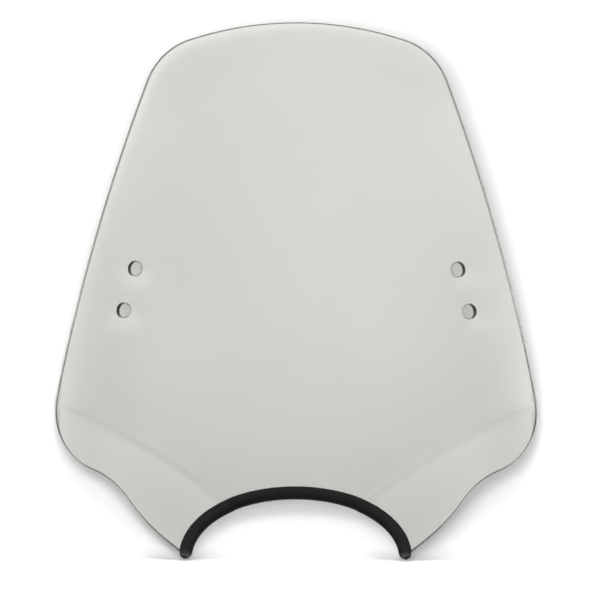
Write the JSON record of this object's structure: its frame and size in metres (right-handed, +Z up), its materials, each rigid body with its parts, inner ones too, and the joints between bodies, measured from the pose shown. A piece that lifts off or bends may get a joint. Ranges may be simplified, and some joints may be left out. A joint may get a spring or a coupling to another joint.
{
  "type": "motorcycle windshield screen",
  "caption": "Curved, lightly smoked clear windshield sheet with flared lower wings, bracket bolt holes and a black rubber trim round its arched headlight cut-out.",
  "frame": {"origin": "centre of the four bracket bolt holes, level with the sheet's front face at the holes", "axes": "+Z up the screen as it stands on the motorcycle, +Y back towards the rider, X across the width"},
  "size_m": [0.4214, 0.1259, 0.455],
  "materials": {
    "smoked_clear_plastic": "polished, lightly smoked clear acrylic sheet",
    "black_rubber": "satin extruded rubber"
  },
  "bodies": {
    "root": {"screen": "smoked_clear_plastic", "headlight_trim": "black_rubber"}
  },
  "joints": []
}
